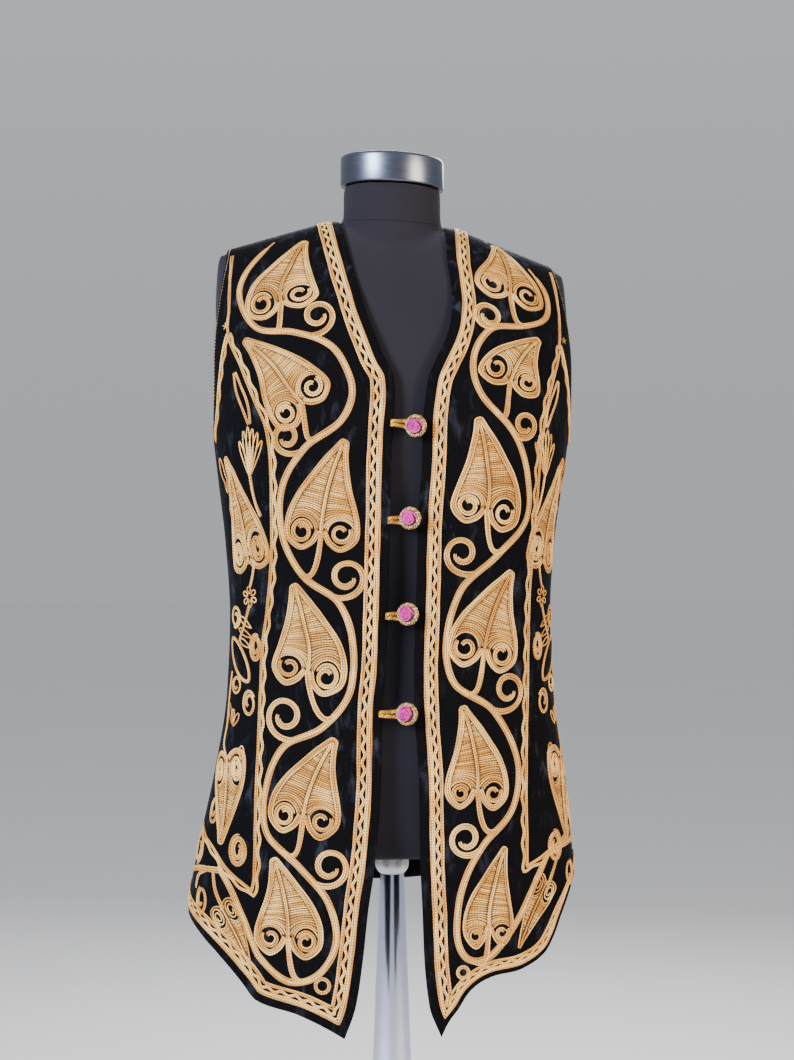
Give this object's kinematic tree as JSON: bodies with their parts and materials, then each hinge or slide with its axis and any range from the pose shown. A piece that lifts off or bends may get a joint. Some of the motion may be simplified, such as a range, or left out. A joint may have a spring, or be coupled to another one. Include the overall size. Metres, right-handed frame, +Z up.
{
  "type": "embroidered vest on dress form",
  "caption": "Sleeveless black velvet folk vest with gold cord embroidery, loop and rose buttons, worn by a limbless dress form on a conical pole with a round base.",
  "frame": {"origin": "centre of the base plate's underside, on the floor under the pole", "axes": "+Z up along the pole, -Y towards the front of the vest, -X towards the wearer's right"},
  "size_m": [0.4094, 0.34, 1.5446],
  "materials": {
    "velvet": "crushed black velvet",
    "gold_cord": "twisted straw-gold cord",
    "cream_thread": "cream-gold thread",
    "magenta_thread": "looped magenta thread",
    "jersey": "matt stretch jersey",
    "gunmetal": "glossy dark metal",
    "chrome": "polished chrome"
  },
  "bodies": {
    "root": {"base_plate": "chrome", "border_back_hem": "gold_cord", "border_back_neck": "gold_cord", "border_left": "gold_cord", "border_right": "gold_cord", "button_cup_1": "cream_thread", "button_cup_2": "cream_thread", "button_cup_3": "cream_thread", "button_cup_4": "cream_thread", "button_loop_1": "gold_cord", "button_loop_2": "gold_cord", "button_loop_3": "gold_cord", "button_loop_4": "gold_cord", "button_rose_1": "magenta_thread", "button_rose_2": "magenta_thread", "button_rose_3": "magenta_thread", "button_rose_4": "magenta_thread", "form_body": "jersey", "goldwork_left": "gold_cord", "goldwork_right": "gold_cord", "neck_cap": "gunmetal", "pocket_welt_left": "velvet", "pocket_welt_right": "velvet", "pole": "chrome", "pole_collar": "chrome", "vest_back": "velvet", "vest_front_left": "velvet", "vest_front_right": "velvet"}
  },
  "joints": []
}
